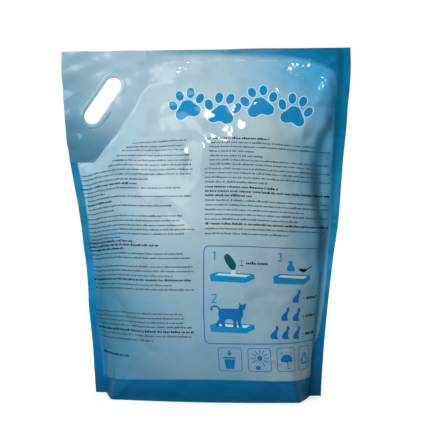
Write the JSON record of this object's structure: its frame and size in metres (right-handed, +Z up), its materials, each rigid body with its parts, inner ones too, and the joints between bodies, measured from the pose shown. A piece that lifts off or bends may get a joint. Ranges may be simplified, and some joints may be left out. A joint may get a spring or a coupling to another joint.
{
  "type": "cat litter bag",
  "caption": "Full stand-up pouch of printed film, sealed flat at the top and sides, with a flat bottom gusset and a slanting carrying slot in one top corner.",
  "frame": {"origin": "on the ground, under the middle of the pouch", "axes": "+Z up, the panel with the directions for use faces -Y, the carrying slot is in the top corner towards -X"},
  "size_m": [0.35, 0.1426, 0.4144],
  "materials": {
    "film": "glossy printed laminate, pale silver-blue with a blue border"
  },
  "bodies": {
    "root": {"pouch": "film"}
  },
  "joints": []
}
